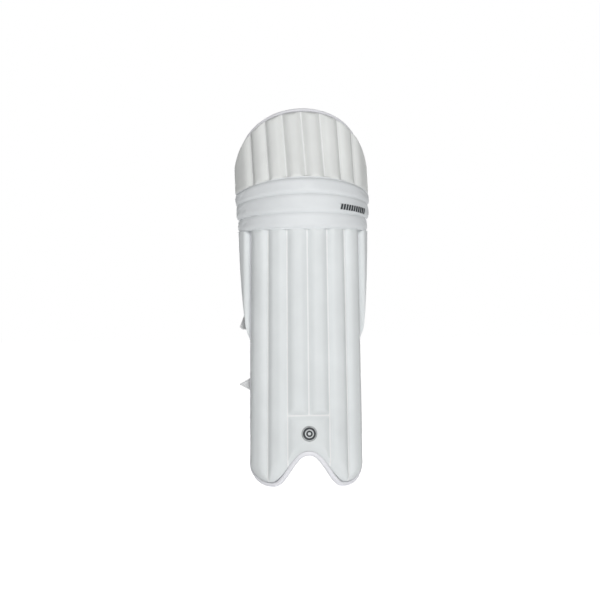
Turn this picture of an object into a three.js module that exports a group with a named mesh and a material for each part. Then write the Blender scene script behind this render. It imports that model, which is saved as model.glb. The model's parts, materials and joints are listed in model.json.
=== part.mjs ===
// Cricket batting leg pad: a fluted, cane-stiffened shin section, three knee rolls and a domed top hat,
// with side wings, inner bolsters and three hook-and-loop straps.
// Millimetres, +Z up. The pad stands on its two instep lobes with its front facing -Y.
// The pieces are placed from a point on the floor midway between the lobes, in the plane of the lining
// where it crosses the front of the shin. The finished pad is then moved to stand over the middle of its
// width and depth.
import * as THREE from "three";

const { lerp, clamp, degToRad } = THREE.MathUtils;

// ---- Driving dimensions ----
const liningRadius = 105; // the lining's curve round the leg
const grooveRadius = 116; // where a stitched groove or an edge lies
const shinHeight = 470; // floor to the lowest knee roll
const instepSeam = 131; // height of the cross seam above the instep panel
const restBend = 5.5; // degrees between neighbouring sections at the knee
const flexMost = 5; // degrees each knee seam can bend further
const flexLeast = 4; // degrees each knee seam can straighten
const hingeDepth = 20; // knee seams bend about a line this far behind the front of the lining
const rollPitches = [25.5, 31, 26]; // hinge-to-hinge height of the lower, middle and upper knee roll

const gap = 0.5; // between neighbouring layers
const liningThick = 1.4;
const foamThick = 7.5;
const coverThick = 1.5;
const grooveOut = 11.5; // the cover's front face at a stitched groove, ahead of the lining's back
const caneWide = 16;
const caneThick = 4.5;
const foamFront = liningThick + gap + foamThick;
const capFoamFront = liningThick + gap + 4; // the top hat's board is thinner
const fillBack = foamFront + caneThick + 2 * gap;
const curvedGap = 1; // between a cover and its stuffing where both curve two ways

const channelCount = 6; // shin channels
const shinCrest = 23.5; // how far the channels stand ahead of the lining's back
const instepCrest = 18;
const capCrest = 23;
const rollCrest = 25;
const wingCrest = 21;

const shinChannelTurn = { floor: 20.2, knee: 18.6 }; // degrees round the leg per channel
const capChannelTurn = 17.3;
const capEdgeTurn = 77.5;
const rollEdgeTurn = 79;
const wingEdgeTurn = 77;
const wingFoot = 246; // height where a wing has tapered to nothing
const hinge = { fromEdge: 1.4, wingFrom: 2.8 }; // degrees past the shin's edge: hinge line, wing's own edge
const dome = { turn: 82.3, height: 112, centre: 20 }; // half-ellipse outline of the top hat's panel

const arch = { height: 57, half: 62, power: 1.15 }; // instep cut-out
const lobe = { centre: 68, wide: 37, high: 48 }; // rounded outer corner of each lobe
const bindingRadius = 4;
const pipingRadius = 2.2;
const capPipingRadius = 3.4;
const edgeOut = 6.5; // bindings and piping run at the middle of the padding's edge
const panelInset = { bottom: 11, side: 4.2 }; // the panels stop this far inside the outline
const bindingInset = { bottom: 4, side: 1.6 }; // the binding's middle line

// ---- Materials ----
function material(color, roughness) {
  return new THREE.MeshStandardMaterial({ color, roughness });
}
const coverWhite = material(0xe1e5e4, 0.45);
const rollWhite = material(0xe0e2e5, 0.45);
const pipingWhite = material(0xe6e6ee, 0.35);
const liningCloth = material(0xd9dbd6, 0.9);
const foam = material(0xd8d2bd, 0.95);
const wadding = material(0xf0ece0, 1);
const cane = material(0xc9a468, 0.6);
const bolsterCloth = material(0xe4e4e0, 0.9);
const strapWebbing = material(0xdcdddf, 0.8);
const hookTape = material(0xc9cbcd, 0.9);
const badgeGrey = material(0x3c4247, 0.6);

// ---- Shape helpers ----

// A point of the padding: turn is degrees round the leg, out is how far it lies ahead of the lining's back.
function wrap(turn, out, z) {
  const radius = liningRadius + out;
  const angle = degToRad(turn);
  return new THREE.Vector3(radius * Math.sin(angle), liningRadius - radius * Math.cos(angle), z);
}

// A box's front and back faces are divided along opposite diagonals. Turning the front's round makes both
// faces of a sheet, and the sheets stacked behind it, bend alike.
function matchDiagonals(box) {
  const corners = box.index.array;
  const { start, count } = box.groups[3];
  for (let i = start; i < start + count; i += 6) {
    const [a, b, d, , c] = corners.slice(i, i + 6);
    corners.set([a, b, c, a, c, d], i);
  }
}

// A closed sheet: place(column, row, isFront) puts each corner of a divided box where it belongs.
function sheet(columns, rows, place) {
  const box = new THREE.BoxGeometry(1, 1, 1, columns.length - 1, 1, rows.length - 1);
  matchDiagonals(box);
  const corners = box.getAttribute("position");
  for (let i = 0; i < corners.count; i++) {
    const column = columns[Math.round((corners.getX(i) + 0.5) * (columns.length - 1))];
    const row = rows[Math.round((corners.getZ(i) + 0.5) * (rows.length - 1))];
    const point = place(column, row, corners.getY(i) < 0);
    corners.setXYZ(i, point.x, point.y, point.z);
  }
  return box;
}

// A round cord along a smooth line through the points.
function cord(points, radius, steps) {
  const ring = new THREE.Shape().absarc(0, 0, radius, 0, 2 * Math.PI);
  const extrudePath = new THREE.CatmullRomCurve3(points);
  return new THREE.ExtrudeGeometry(ring, { extrudePath, steps, curveSegments: 3, bevelEnabled: false });
}

// A point beside a level line at height z. Round the leg from right to left, a positive offset is nearer it.
function beside(line, share, offset, z) {
  const point = line.getPointAt(share);
  const along = line.getTangentAt(share);
  return new THREE.Vector3(point.x - along.y * offset, point.y + along.x * offset, z);
}

// A flat band standing on edge beside a level line, half(share) being half its height.
function band({ line, shares, z, thick, offset = 0, half }) {
  return sheet(shares, [-1, 1], (share, side, isOuter) =>
    beside(line, share, offset + (isOuter ? -thick / 2 : thick / 2), z + side * half(share)),
  );
}

function divide(from, to, steps) {
  return Array.from({ length: steps + 1 }, (_, i) => lerp(from, to, i / steps));
}

function addPiece(group, name, geometry, look) {
  const mesh = new THREE.Mesh(geometry, look);
  mesh.name = name;
  group.add(mesh);
  return mesh;
}

// The crown of a stuffed channel: 0 at its seams (share 0 and 1), 1 in the middle.
function crown(share) {
  return Math.sqrt(Math.max(0, 1 - Math.abs(2 * share - 1) ** 3));
}

const channelStops = [0, 0.1, 0.3, 0.7, 0.9, 1]; // columns of one channel
const fillStops = channelStops.slice(1, -1);

function shinChannelAt(z) {
  return lerp(shinChannelTurn.floor, shinChannelTurn.knee, clamp(z / shinHeight, 0, 1));
}

function shinEdgeAt(z) {
  return (channelCount / 2) * shinChannelAt(z);
}

// Height of the scalloped bottom outline at a sideways distance x, moved into the pad by inset.
function instepOutline(x, inset) {
  const across = Math.abs(x);
  const archShare = Math.min(1, across / (arch.half + 0.7 * inset.bottom));
  const archUp = (arch.height * (1 + Math.cos(Math.PI * archShare ** arch.power))) / 2;
  const cornerShare = clamp((across - lobe.centre) / (lobe.wide - inset.side), 0, 1);
  const cornerUp = (lobe.high - inset.bottom) * (1 - Math.sqrt(1 - cornerShare ** 2));
  return inset.bottom + archUp + cornerUp;
}

// How far a section stops short of its knee hinge's plane, at a depth y behind that hinge. Behind the hinge
// the sections close up as the knee bends, and ahead of it they close up as the knee straightens.
function seamRelief(y) {
  const half = y > 0 ? (restBend + flexMost) / 2 : (restBend - flexLeast) / 2;
  return gap + y * Math.tan(degToRad(half));
}

// ---- Shin section ----
const shin = new THREE.Group();

// Rows 0 to 1 climb from the scalloped edge to the cross seam, rows 1 to 2 from there to the knee.
function shinHeightAt(across, row, inset) {
  const x = grooveRadius * Math.sin(degToRad(across * shinChannelAt(0)));
  const bottom = instepOutline(x, inset);
  const depth = liningRadius - grooveRadius * Math.cos(degToRad(across * shinChannelAt(shinHeight)));
  const top = shinHeight - seamRelief(depth - hingeDepth);
  return row < 1 ? lerp(bottom, instepSeam, row) : lerp(instepSeam, top, row - 1);
}

// The cover's front face: crowned channels, with a plain panel over the instep between the middle pair.
function shinFront(across, row, z) {
  const endTaper = Math.sqrt(clamp(Math.min(row / 0.2, (2 - row) / 0.04), 0, 1));
  const overInstep = Math.abs(across) < 1 && row < 1;
  const inMiddlePair = Math.abs(across) < 1;
  const channel = Math.min(Math.floor(across + channelCount / 2), channelCount - 1) - channelCount / 2;
  const rise = overInstep
    ? (instepCrest - grooveOut) * crown((across + 1) / 2)
    : (shinCrest - grooveOut) * crown(across - channel);
  const seamTaper = inMiddlePair ? Math.sqrt(clamp(Math.abs(z - instepSeam) / 8, 0, 1)) : 1;
  return grooveOut + rise * endTaper * seamTaper;
}

function shinSheet(columns, rows, outFront, outBack) {
  return sheet(columns, rows, (across, row, isFront) => {
    const z = shinHeightAt(across, row, panelInset);
    const front = shinFront(across, row, z);
    return wrap(across * shinChannelAt(z), isFront ? outFront(front) : outBack(front), z);
  });
}

const shinColumns = [];
for (let channel = -channelCount / 2; channel < channelCount / 2; channel++) {
  shinColumns.push(...channelStops.slice(0, -1).map((stop) => channel + stop));
}
shinColumns.push(channelCount / 2);
const flatColumns = divide(-channelCount / 2, channelCount / 2, 4 * channelCount);
const flatRows = [0, 0.5, 1, 1.5, 2];

addPiece(
  shin,
  "shin_cover",
  shinSheet(shinColumns, [0, 0.06, 0.2, 0.9, 1, 1.03, 1.5, 1.96, 1.985, 2], (f) => f, (f) => f - coverThick),
  coverWhite,
);
addPiece(
  shin,
  "shin_foam_board",
  shinSheet(flatColumns, flatRows, () => foamFront, () => liningThick + gap),
  foam,
);
addPiece(shin, "shin_lining", shinSheet(flatColumns, flatRows, () => liningThick, () => 0), liningCloth);

// A stuffed bar inside each channel, ahead of its cane.
function fillSheet(columns, rows) {
  return shinSheet(columns, rows, (f) => f - coverThick - gap, () => fillBack);
}
for (let i = 0; i < channelCount; i++) {
  const channel = i - channelCount / 2;
  const isMiddle = channel === -1 || channel === 0;
  const rows = isMiddle ? [1.03, 1.5, 1.96] : [0.2, 0.9, 1, 1.03, 1.5, 1.96];
  addPiece(shin, `shin_fill_${i + 1}`, fillSheet(fillStops.map((stop) => channel + stop), rows), wadding);
}
const instepStops = shinColumns.filter((across) => Math.abs(across) < 0.9);
addPiece(
  shin,
  "instep_fill",
  shinSheet(instepStops, [0.2, 0.9], (f) => f - coverThick - gap, () => foamFront + gap),
  wadding,
);

// A half-round split cane behind each channel's stuffing.
function caneRod(across, bottom, top) {
  const section = new THREE.Shape();
  section.moveTo(-caneWide / 2, 0);
  section.absellipse(0, 0, caneWide / 2, caneThick, Math.PI, 0, true);
  const foot = wrap(across * shinChannelAt(bottom), foamFront + gap, bottom);
  const head = wrap(across * shinChannelAt(top), foamFront + gap, top);
  const rod = new THREE.ExtrudeGeometry(section, {
    depth: foot.distanceTo(head),
    curveSegments: 6,
    bevelEnabled: false,
  });
  const along = head.clone().sub(foot).normalize();
  const outward = wrap(across * shinChannelAt((bottom + top) / 2), 1, 0).sub(
    wrap(across * shinChannelAt((bottom + top) / 2), 0, 0),
  );
  const sideways = new THREE.Vector3().crossVectors(outward, along).normalize();
  const upright = new THREE.Vector3().crossVectors(along, sideways);
  rod.applyMatrix4(new THREE.Matrix4().makeBasis(sideways, upright, along));
  rod.translate(foot.x, foot.y, foot.z);
  return rod;
}
for (let i = 0; i < channelCount; i++) {
  const across = i + 0.5 - channelCount / 2;
  const bottom = Math.abs(across) < 1 ? instepSeam + 12 : 60;
  addPiece(shin, `shin_cane_${i + 1}`, caneRod(across, bottom, shinHeight - 14), cane);
}

// Binding round the scalloped bottom edge, and piping up each side of the channels.
function bindingPoint(turn) {
  return wrap(turn, edgeOut, instepOutline(grooveRadius * Math.sin(degToRad(turn)), bindingInset));
}
const bindingTurn = 54;
const bindingPoints = divide(-bindingTurn, bindingTurn, 40).map(bindingPoint);
addPiece(shin, "instep_binding", cord(bindingPoints, bindingRadius, 52), pipingWhite);

// The line that a wing turns about, which is also the middle of the side piping.
function edgeLine(side, z) {
  return wrap(side * (shinEdgeAt(z) + hinge.fromEdge), edgeOut, z);
}
const sides = { left: -1, right: 1 };
for (const [name, side] of Object.entries(sides)) {
  const corner = [56.5, 58.5, 60.3].map((turn) => bindingPoint(side * turn));
  const upright = [62, 120, 200, 290, 380, shinHeight - 4].map((z) => edgeLine(side, z));
  addPiece(shin, `side_piping_${name}`, cord([...corner, ...upright], pipingRadius, 18), pipingWhite);
}

// A round badge sewn on the instep panel, generic and unlettered.
const badge = { radius: 14, thick: 1.6, z: 98 };
const badgePiece = addPiece(
  shin,
  "instep_badge",
  new THREE.CylinderGeometry(badge.radius, badge.radius, badge.thick, 24),
  badgeGrey,
);
badgePiece.position.set(0, -(instepCrest + 0.6 + badge.thick / 2), badge.z);

// ---- Cushions against the leg ----
const bolster = { deep: 16, bottom: 95, top: 398, side: 32 };

// An upright bolster: its leg side is flat between bevelled flanks and ends.
function uprightBolster(centreTurn, halfTurn) {
  const columns = [-1, -0.55, 0.55, 1];
  const rows = [0, 0.04, 0.96, 1];
  return sheet(columns, rows, (across, row, isFront) => {
    const isRim = Math.abs(across) === 1 || row === 0 || row === 1;
    const z = lerp(bolster.bottom, bolster.top, row);
    const point = wrap(across * halfTurn, isFront ? -0.8 : -0.5 * bolster.deep, z);
    if (!isFront && !isRim) point.y = bolster.deep;
    const turned = new THREE.Vector3(point.x, point.y - liningRadius, z);
    turned.applyAxisAngle(new THREE.Vector3(0, 0, 1), degToRad(centreTurn));
    return turned.setY(turned.y + liningRadius);
  });
}
addPiece(shin, "centre_bolster", uprightBolster(0, 9), bolsterCloth);
addPiece(shin, "left_bolster", uprightBolster(-bolster.side, 8.5), bolsterCloth);
addPiece(shin, "right_bolster", uprightBolster(bolster.side, 8.5), bolsterCloth);

const kneeBolster = { bottom: 412, top: 456, turn: 41 };
addPiece(
  shin,
  "knee_bolster",
  sheet(
    [-1, -0.93, -0.75, -0.5, -0.25, 0, 0.25, 0.5, 0.75, 0.93, 1],
    [0, 0.15, 0.5, 0.85, 1],
    (across, row, isFront) => {
      const deep = 6 + (bolster.deep - 6) * crown(row) * (Math.abs(across) < 1 ? 1 : 0);
      return wrap(
        across * kneeBolster.turn,
        isFront ? -1 : -deep,
        lerp(kneeBolster.bottom, kneeBolster.top, row),
      );
    },
  ),
  bolsterCloth,
);

// ---- Side wings ----

// How far round the leg the padding reaches at a height, wing included.
function outerEdgeAt(z) {
  const inner = shinEdgeAt(z) + (z > wingFoot ? hinge.wingFrom : 0);
  const flare = Math.sin((Math.PI / 2) * clamp((z - wingFoot) / (shinHeight - wingFoot), 0, 1));
  return lerp(inner, wingEdgeTurn, flare);
}

function wingPoint(side, share, row, out) {
  const top = shinHeight - seamRelief(liningRadius * (1 - Math.cos(degToRad(wingEdgeTurn))) - hingeDepth);
  const z = lerp(wingFoot + 10, top - 0.5, row);
  const inner = shinEdgeAt(z) + hinge.wingFrom;
  const outer = outerEdgeAt(z);
  const turn = side > 0 ? lerp(inner, outer, share) : -lerp(inner, outer, 1 - share);
  return wrap(turn, out, z);
}

function wingFront(share, row) {
  const endTaper = Math.sqrt(clamp(Math.min(row / 0.3, (1 - row) / 0.06), 0, 1));
  return grooveOut - 2 + (wingCrest - grooveOut + 2) * crown(share) ** 1.4 * endTaper;
}

const wingColumns = [0, 0.16, 0.33, 0.5, 0.67, 0.84, 1];
const wingRows = [0, 0.1, 0.3, 0.6, 0.94, 1];
for (const [name, side] of Object.entries(sides)) {
  const wing = new THREE.Group();
  shin.add(wing);
  addPiece(
    wing,
    `wing_cover_${name}`,
    sheet(wingColumns, wingRows, (share, row, isFront) =>
      wingPoint(side, share, row, wingFront(share, row) - (isFront ? 0 : coverThick)),
    ),
    coverWhite,
  );
  addPiece(
    wing,
    `wing_fill_${name}`,
    sheet(wingColumns, wingRows, (share, row, isFront) =>
      wingPoint(side, share, row, isFront ? wingFront(share, row) - coverThick - curvedGap : 0),
    ),
    wadding,
  );
}

// ---- Knee rolls and top hat: each section sits in a group at its hinge, tilted back from the one below ----
function kneeSection(parent, pitchBelow) {
  const group = new THREE.Group();
  group.position.set(0, parent === shin ? hingeDepth : 0, pitchBelow);
  group.rotation.x = -degToRad(restBend);
  parent.add(group);
  return group;
}

const rollColumns = divide(-rollEdgeTurn, rollEdgeTurn, 18);
const rollRows = [0, 0.1, 0.3, 0.5, 0.7, 0.9, 1];

function rollPoint(turn, row, out, pitch) {
  const point = wrap(turn, out, 0);
  point.y -= hingeDepth;
  const relief = seamRelief(point.y);
  point.z = lerp(relief, pitch - relief, row);
  return point;
}

function rollFront(turn, row) {
  const endTaper = Math.sqrt(clamp((rollEdgeTurn - Math.abs(turn)) / 9, 0, 1));
  const round = Math.sqrt(Math.max(0, 1 - Math.abs(2 * row - 1) ** 2.4));
  return grooveOut + (rollCrest - grooveOut) * round * (0.35 + 0.65 * endTaper);
}

function addRoll(group, name, pitch) {
  const rollSheet = (columns, rows, outFront, outBack) =>
    sheet(columns, rows, (turn, row, isFront) => {
      const front = rollFront(turn, row);
      return rollPoint(turn, row, isFront ? outFront(front) : outBack(front), pitch);
    });
  const coreBack = liningThick + gap;
  addPiece(
    group,
    `${name}_roll_cover`,
    rollSheet(rollColumns, rollRows, (f) => f, (f) => f - coverThick),
    rollWhite,
  );
  addPiece(
    group,
    `${name}_roll_core`,
    rollSheet(rollColumns, rollRows, (f) => f - coverThick - curvedGap, () => coreBack),
    foam,
  );
  addPiece(
    group,
    `${name}_roll_backing`,
    rollSheet(rollColumns, [0, 1], () => liningThick, () => 0),
    liningCloth,
  );
}

const rollNames = ["lower", "middle", "upper"];
let section = shin;
let pitchBelow = shinHeight;
const rolls = {};
rollNames.forEach((name, i) => {
  section = kneeSection(section, pitchBelow);
  pitchBelow = rollPitches[i];
  addRoll(section, name, pitchBelow);
  rolls[name] = section;
});

// A plain woven label on the middle roll, towards the wearer's right as seen from the front.
const label = { from: 28, to: 60, high: 13, drop: 5.5 };
addPiece(
  rolls.middle,
  "roll_label",
  sheet([0, 0.25, 0.5, 0.75, 1], [0, 1], (share, row, isFront) => {
    const point = wrap(lerp(label.from, label.to, share), rollCrest + (isFront ? 1.6 : 0.6), 0);
    point.y -= hingeDepth;
    point.z = rollPitches[1] / 2 - label.drop + (row - 0.5) * label.high;
    return point;
  }),
  badgeGrey,
);

const topHat = kneeSection(section, pitchBelow);
const capEdge = capEdgeTurn / capChannelTurn; // in channels

// Top hat outline: a half-ellipse, cut off by the side edges.
function domeTop(turn, grow) {
  const share = Math.min(1, Math.abs(turn) / (dome.turn + grow / 2));
  return dome.centre + (dome.height + grow) * Math.sqrt(1 - share ** 2);
}

function capPoint(across, row, out) {
  const turn = across * capChannelTurn;
  const point = wrap(turn, out, 0);
  point.y -= hingeDepth;
  point.z = lerp(seamRelief(point.y), domeTop(turn, 0), row);
  return point;
}

function capFront(across, row) {
  const endTaper = Math.sqrt(clamp(Math.min(row / 0.08, (1 - row) / 0.1), 0, 1));
  const isOuter = Math.abs(across) > 3;
  const share = isOuter ? (Math.abs(across) - 3) / (capEdge - 3) : across - Math.floor(across);
  return grooveOut + (capCrest - grooveOut) * crown(share) * endTaper;
}

function capSheet(columns, rows, outFront, outBack) {
  return sheet(columns, rows, (across, row, isFront) => {
    const front = capFront(across, row);
    return capPoint(across, row, isFront ? outFront(front) : outBack(front));
  });
}

const outerStops = channelStops.map((stop) => lerp(3, capEdge, stop));
const innerStops = [];
for (let channel = -3; channel < 3; channel++) {
  innerStops.push(...channelStops.slice(0, -1).map((stop) => channel + stop));
}
const capColumns = [...outerStops.map((stop) => -stop).reverse().slice(0, -1), ...innerStops, ...outerStops];
const capRows = [0, 0.08, 0.5, 0.8, 0.9, 0.96, 1];
const capFlatRows = [0, 0.5, 0.8, 1];
const capFlatColumns = divide(-capEdge, capEdge, 16);

addPiece(topHat, "top_hat_cover", capSheet(capColumns, capRows, (f) => f, (f) => f - coverThick), coverWhite);
addPiece(
  topHat,
  "top_hat_wadding",
  capSheet(capColumns, capRows, (f) => f - coverThick - curvedGap, () => capFoamFront + gap),
  wadding,
);
addPiece(
  topHat,
  "top_hat_foam_board",
  capSheet(capFlatColumns, capFlatRows, () => capFoamFront, () => liningThick + gap),
  foam,
);
addPiece(
  topHat,
  "top_hat_lining",
  capSheet(capFlatColumns, capFlatRows, () => liningThick, () => 0),
  liningCloth,
);

const capPipingTurn = capEdgeTurn + 2.4;
function capPipingPoint(turn, z) {
  const point = wrap(turn, edgeOut, 0);
  return point.set(point.x, point.y - hingeDepth, z);
}
const capPipingArc = divide(-capPipingTurn, capPipingTurn, 30).map((turn) =>
  capPipingPoint(turn, domeTop(turn, capPipingRadius + 1.2)),
);
const capPipingPoints = [
  ...[12, 26, 42].map((z) => capPipingPoint(-capPipingTurn, z)),
  ...capPipingArc,
  ...[42, 26, 12].map((z) => capPipingPoint(capPipingTurn, z)),
];
addPiece(topHat, "top_hat_piping", cord(capPipingPoints, capPipingRadius, 48), pipingWhite);

// ---- Straps: sewn to the right-hand edge, round the back of the leg and hooked on a tab at the left ----
const strap = { thick: 3, half: 19, hook: 1.2, tab: 1.6, near: 3, past: 4.5, foldGap: 3.4, sewnGap: 0.9 };
const strapRows = [
  { name: "knee", z: 430, back: 134, tip: { x: -114, taper: 6, end: 15 } },
  { name: "calf", z: 307, back: 126, tip: { x: -117.3, taper: 6, end: 15 } },
  { name: "ankle", z: 188, back: 122, tip: { x: -119, taper: 35, end: 1 } },
];

// The strap's plan line, from its hinge behind the right-hand edge to its tip.
function strapLine({ z, back, tip }) {
  const start = wrap(outerEdgeAt(z + strap.half) + strap.past, -strap.near, z);
  const shoulder = lerp(start.y, back, 0.66);
  return new THREE.CatmullRomCurve3([
    start,
    new THREE.Vector3(0.83 * start.x, shoulder, z),
    new THREE.Vector3(0, back, z),
    new THREE.Vector3(-0.83 * start.x, shoulder, z),
    new THREE.Vector3(-start.x - 5, start.y + 7, z),
    new THREE.Vector3(tip.x, start.y - 1, z),
  ]);
}

// A root or a tab is sewn to the shin's lining by its edge and passes behind the wing, if there is one there.
function edgeBandPoints(side, z) {
  const edge = shinEdgeAt(z);
  const past = outerEdgeAt(z + strap.half) + 3;
  const turns = [edge - 12, edge - 6, ...divide(edge, past, past > edge + 9 ? 3 : 1)];
  return turns.map((turn) => wrap(side * turn, -strap.tab / 2 - strap.sewnGap, z));
}

for (const row of strapRows) {
  const { name, z, tip } = row;
  const line = strapLine(row);
  const length = line.getLength();
  const fullHalf = () => strap.half;
  const tipHalf = (share) => lerp(tip.end, strap.half, Math.min(1, ((1 - share) * length) / tip.taper));
  const foldGap = strap.foldGap / 2 / length;
  const startGap = 2.5 / length;
  const endShares = [...divide(0.5 + foldGap, 1 - tip.taper / length, 12), 1];

  const root = new THREE.CatmullRomCurve3([...edgeBandPoints(1, z), beside(line, 0, 0, z)]);
  addPiece(
    shin,
    `${name}_strap_root`,
    band({ line: root, shares: divide(0, 1, 5), z, thick: strap.tab, half: fullHalf }),
    strapWebbing,
  );
  addPiece(
    shin,
    `${name}_strap_base`,
    band({ line, shares: divide(startGap, 0.5 - foldGap, 8), z, thick: strap.thick, half: fullHalf }),
    strapWebbing,
  );
  addPiece(
    shin,
    `${name}_strap_end`,
    band({ line, shares: endShares, z, thick: strap.thick, half: tipHalf }),
    strapWebbing,
  );
  const hookShares = endShares.slice(3, 9);
  const hookOffset = (strap.thick + strap.hook) / 2 + gap;
  const hookHalf = () => strap.half - 2;
  addPiece(
    shin,
    `${name}_strap_hook`,
    band({ line, shares: hookShares, z, thick: strap.hook, offset: hookOffset, half: hookHalf }),
    hookTape,
  );
  const tabOffset = hookOffset + (strap.hook + strap.tab) / 2 + strap.sewnGap;
  const tabLine = new THREE.CatmullRomCurve3([
    ...edgeBandPoints(-1, z),
    ...hookShares.toReversed().map((share) => beside(line, share, tabOffset, z)),
  ]);
  addPiece(
    shin,
    `${name}_strap_tab`,
    band({ line: tabLine, shares: divide(0, 1, 16), z, thick: strap.tab, half: fullHalf }),
    strapWebbing,
  );
}

// ---- The origin is on the floor, under the middle of the pad's width and depth ----
const pad = new THREE.Group();
pad.add(shin);
const extent = new THREE.Box3().setFromObject(shin, true);
const middle = extent.getCenter(new THREE.Vector3());
shin.position.set(-middle.x, -middle.y, -extent.min.z);

export default pad;
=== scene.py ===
"""Cricket leg pad: the looks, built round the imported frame. It stands on the floor and faces -Y.

Shapes are worked out in millimetres on the pad's own curved surface: turn is degrees round the leg, out
is how far a point lies ahead of the lining's back, and height climbs the section. place() gives metres.
"""

import json
import math

import bmesh
import bpy
import numpy as np
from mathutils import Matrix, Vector, noise
from mathutils.kdtree import KDTree


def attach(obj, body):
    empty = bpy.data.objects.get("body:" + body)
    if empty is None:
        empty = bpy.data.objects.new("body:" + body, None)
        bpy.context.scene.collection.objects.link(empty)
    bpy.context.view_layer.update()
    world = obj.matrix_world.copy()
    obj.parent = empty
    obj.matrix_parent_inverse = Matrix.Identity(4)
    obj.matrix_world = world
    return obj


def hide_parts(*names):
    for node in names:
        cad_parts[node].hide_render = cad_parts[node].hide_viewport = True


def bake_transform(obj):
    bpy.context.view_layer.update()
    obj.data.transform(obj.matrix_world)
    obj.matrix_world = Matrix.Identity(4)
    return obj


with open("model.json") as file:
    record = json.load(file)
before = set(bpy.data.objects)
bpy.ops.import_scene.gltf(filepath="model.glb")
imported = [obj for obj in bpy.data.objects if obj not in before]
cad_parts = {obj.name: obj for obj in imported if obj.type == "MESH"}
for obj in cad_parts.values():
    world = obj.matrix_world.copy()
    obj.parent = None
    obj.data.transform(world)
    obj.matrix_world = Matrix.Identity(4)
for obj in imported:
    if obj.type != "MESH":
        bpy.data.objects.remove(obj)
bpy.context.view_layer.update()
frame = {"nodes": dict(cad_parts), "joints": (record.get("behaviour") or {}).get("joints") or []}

# ---- Driving dimensions, in millimetres and degrees ----
MM = 0.001
LINING_RADIUS = 105.0  # the lining's curve round the leg
GROOVE_RADIUS = 116.0  # distances round the leg are taken on this curve
HINGE_DEPTH = 20.0  # the knee seams' hinges lie this far behind the lining's middle
REST_BEND = 5.5  # between neighbouring sections at the knee
FLEX_MOST = 5.0  # how far each knee seam bends from rest
FLEX_LEAST = 4.0  # how far it straightens
KNEE_HEIGHT = 470.0  # top of the shin
CROSS_SEAM = 131.0  # height of the seam above the instep panel
WING_FOOT = 246.0
WING_FROM = 2.8  # degrees past the shin's edge where a wing starts

SHIN_CHANNELS = 6
CHANNEL_TURN = (20.2, 18.6)  # at the floor and at the knee
CAP_CHANNEL_TURN = 16.7
CAP_EDGE_TURN = 77.6
ROLL_EDGE_TURN = 79.4
WING_EDGE_TURN = 77.0

SHIN_CREST = 23.5
PANEL_CREST = 21.0
ROLL_CREST = 25.0
CAP_CREST = 23.0
WING_CREST = 21.0
WING_RIM = 9.5
SHIN_VALLEY = 16.3  # the height of the stitched seams
CAP_VALLEY = 15.6
SEAM_DRAW = 0.935  # the shin's grooves keep this share of an even spacing
SEAM_HALF = 1.5  # half the flat strip along a stitched seam
# within SEAM_STRIP of a seam the cover is painted lighter, a painted highlight
SEAM_STRIP = 1.9  # the smooth, drawn-in cover beside the stitches reaches this far from a seam
SEAM_ROUND = 13.0  # the channels round off over this distance
KNEE_DEPTH = 4.4  # the knee seams lie this far below the padding beside them
KNEE_ROUND = 8.0  # and it rounds off into them over this distance
RIM_ROUND = 24.0  # the padding rounds off over this distance towards the pad's sides
ROLL_END_ROUND = {"lower_roll": 80.0, "middle_roll": 34.0}  # and these rolls over a longer one
WELT_RADIUS = 1.4  # the thin welt sewn into a knee seam
WELT_SUNK = 1.9  # its top lies this far below the padding beside it
EDGE_OUT = 12.0  # the facing's height where it meets a bound edge
SKIRT_OUT = (6.0, 1.6)  # heights of the two rings that turn a facing down over its free edges
BINDING_OUT = 6.0  # the middle of the edge bindings
FACING_THICK = 1.2
LINING_THICK = 1.3
LINING_DRAW = 1.3  # how deep the seams lie in the lining

ARCH = {"height": 57.0, "half": 62.0, "power": 1.15}  # instep cut-out
LOBE = {"centre": 68.0, "wide": 37.0, "high": 48.0}
DOME = {"turn": 82.3, "height": 112.0, "centre": 20.0}  # the top hat's half-ellipse
FLUTE_SHIFT = 0.6  # degrees that the middle flute seam starts off the centre line
FLUTE_LEAN = 2.4  # degrees that the middle flute seam leans over the full height of the dome
FLUTE_FROM = 5.0  # the top hat's flutes start this far above the knee seam
PANEL_INSET = (9.5, 3.4)  # the facing stops this far inside the outline: at the bottom, at the sides
BINDING_INSET = (5.0, 2.0)
BINDING_END = 54.5  # degrees round the leg to each end of the bottom binding

BOLSTER_DEEP = 16.0
BOLSTERS = (  # name, middle and half width in degrees, lower end, upper end
    ("centre", 0.0, 9.0, 95.0, 398.0),
    ("left", -32.0, 8.5, 95.0, 398.0),
    ("right", 32.0, 8.5, 95.0, 398.0),
    ("knee", 0.0, 41.0, 412.0, 456.0),
)
STRAP_HALF = 19.0  # half a strap's width
HEM = 0.8  # share of a strap's half width at which its hems are sewn
LABEL_DROP = 5.5  # the label sits this far below the middle of its roll
LABEL_TURN = (28.0, 60.0)
LABEL_BARS = 11
BADGE_RADIUS = 14.0
BADGE_HEIGHT = 98.0


# ---- The pad's sections ----
class Section:
    """A rigid length of the pad: its body, its lower hinge, how far it leans back at rest, its height."""

    def __init__(self, body, hinge, lean, high):
        self.body = body
        self.hinge = hinge
        self.lean = math.radians(lean)
        self.high = high


def knee_sections():
    seams = [joint for joint in frame["joints"] if joint["name"].startswith("knee_seam")]
    hinges = [np.array(joint["pos_m"]) / MM for joint in seams]
    floor = hinges[0] - np.array([0.0, 0.0, KNEE_HEIGHT])
    sections = [Section("shin", floor, 0.0, KNEE_HEIGHT)]
    for k, joint in enumerate(seams):
        high = float(np.linalg.norm(hinges[k + 1] - hinges[k])) if k + 1 < len(seams) else 0.0
        sections.append(Section(joint["child"], hinges[k], REST_BEND * (k + 1), high))
    return sections


SHIN, LOWER, MIDDLE, UPPER, CAP = knee_sections()
KNEE_SEAMS = ((SHIN, LOWER), (LOWER, MIDDLE), (MIDDLE, UPPER), (UPPER, CAP))
SEAM_LEVEL = ROLL_CREST - KNEE_DEPTH / 2  # the seam planes are taken at this height of the facings


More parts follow.
